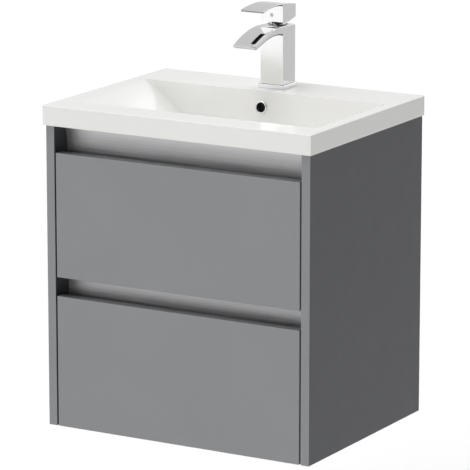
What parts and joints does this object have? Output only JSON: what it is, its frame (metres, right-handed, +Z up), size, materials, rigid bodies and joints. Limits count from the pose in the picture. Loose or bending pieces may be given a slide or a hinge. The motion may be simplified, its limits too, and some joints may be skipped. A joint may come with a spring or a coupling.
{
  "type": "wall-hung bathroom vanity cabinet",
  "caption": "Wall-hung grey vanity cabinet with handleless drawers on telescopic runners, a white inset-bowl basin with overflow and pop-up waste, and a single-lever tap.",
  "frame": {"origin": "centre of the wall rail's back face, on the wall plane", "axes": "+X to the right seen from the front, +Y into the wall, +Z up; the front faces -Y"},
  "size_m": [0.508, 0.393, 0.6951],
  "materials": {
    "front_lacquer": "satin grey lacquer over board",
    "carcass_lacquer": "satin grey lacquer over board",
    "drawer_board": "light grey melamine",
    "brushed_aluminium": "brushed, lines along the profile",
    "galvanised_steel": "zinc plated",
    "stainless_steel": "plain",
    "basin_white": "glossy white",
    "chrome": "mirror chrome",
    "brass": "plain",
    "black_rubber": "matt",
    "white_plastic": "moulded",
    "guard_plastic": "moulded grey"
  },
  "bodies": {
    "cabinet": {"side_panel_left": "carcass_lacquer", "side_panel_right": "carcass_lacquer", "bottom_panel": "carcass_lacquer", "back_rail_lower": "carcass_lacquer", "back_rail_upper": "carcass_lacquer", "finger_profile_upper": "brushed_aluminium", "finger_profile_middle": "brushed_aluminium", "wall_rail": "galvanised_steel", "hanger_left": "galvanised_steel", "hanger_right": "galvanised_steel", "basin": "basin_white", "overflow_ring": "chrome", "waste_top_seal": "black_rubber", "waste_body": "chrome", "waste_seal": "black_rubber", "waste_nut": "brass", "tap_base_plate": "chrome", "tap_gasket": "black_rubber", "tap_body": "chrome", "tap_cartridge": "white_plastic", "tap_cartridge_nut": "chrome", "tap_stud": "brass", "tap_washer_rubber": "black_rubber", "tap_washer_steel": "stainless_steel", "tap_nut": "brass", "upper_cabinet_runner_left": "galvanised_steel", "upper_cabinet_runner_right": "galvanised_steel", "lower_cabinet_runner_left": "galvanised_steel", "lower_cabinet_runner_right": "galvanised_steel"},
    "waste_plug": {"waste_plug": "chrome"},
    "tap_swivel": {"tap_carrier": "white_plastic", "tap_pivot_pin": "stainless_steel"},
    "tap_handle": {"tap_spindle": "stainless_steel", "tap_lever": "chrome", "tap_lever_screw": "stainless_steel", "tap_indice": "white_plastic"},
    "upper_runners": {"upper_middle_runner_left": "galvanised_steel", "upper_middle_runner_right": "galvanised_steel"},
    "upper_drawer": {"upper_drawer_front": "front_lacquer", "upper_drawer_base": "drawer_board", "upper_trap_guard": "guard_plastic", "upper_drawer_side_left": "drawer_board", "upper_drawer_side_right": "drawer_board", "upper_drawer_back_left": "drawer_board", "upper_drawer_back_right": "drawer_board", "upper_front_bracket_left": "galvanised_steel", "upper_front_bracket_right": "galvanised_steel", "upper_drawer_runner_left": "galvanised_steel", "upper_drawer_runner_right": "galvanised_steel"},
    "lower_runners": {"lower_middle_runner_left": "galvanised_steel", "lower_middle_runner_right": "galvanised_steel"},
    "lower_drawer": {"lower_drawer_front": "front_lacquer", "lower_drawer_base": "drawer_board", "lower_drawer_back": "drawer_board", "lower_drawer_side_left": "drawer_board", "lower_drawer_side_right": "drawer_board", "lower_front_bracket_left": "galvanised_steel", "lower_front_bracket_right": "galvanised_steel", "lower_drawer_runner_left": "galvanised_steel", "lower_drawer_runner_right": "galvanised_steel"}
  },
  "joints": [
    {"name": "upper_drawer_slide", "type": "slide", "parent": "cabinet", "child": "upper_drawer", "axis": [0, -1, 0], "range_m": [0, 0.29]},
    {"name": "upper_runner_slide", "type": "slide", "parent": "cabinet", "child": "upper_runners", "axis": [0, -1, 0], "range_m": [0, 0.145]},
    {"name": "lower_drawer_slide", "type": "slide", "parent": "cabinet", "child": "lower_drawer", "axis": [0, -1, 0], "range_m": [0, 0.29]},
    {"name": "lower_runner_slide", "type": "slide", "parent": "cabinet", "child": "lower_runners", "axis": [0, -1, 0], "range_m": [0, 0.145]},
    {"name": "tap_swivel_turn", "type": "hinge", "parent": "cabinet", "child": "tap_swivel", "pos_m": [0, -0.051, 0.181], "axis": [0, 0, 1], "range_deg": [-45, 45]},
    {"name": "tap_lever_lift", "type": "hinge", "parent": "tap_swivel", "child": "tap_handle", "pos_m": [0, -0.051, 0.181], "axis": [-1, 0, 0], "range_deg": [0, 25]},
    {"name": "waste_plug_press", "type": "slide", "parent": "cabinet", "child": "waste_plug", "axis": [0, 0, -1], "range_m": [0, 0.008]}
  ],
  "couplings": [
    {"joint": "upper_runner_slide", "follows": "upper_drawer_slide", "ratio": 0.5},
    {"joint": "lower_runner_slide", "follows": "lower_drawer_slide", "ratio": 0.5}
  ]
}
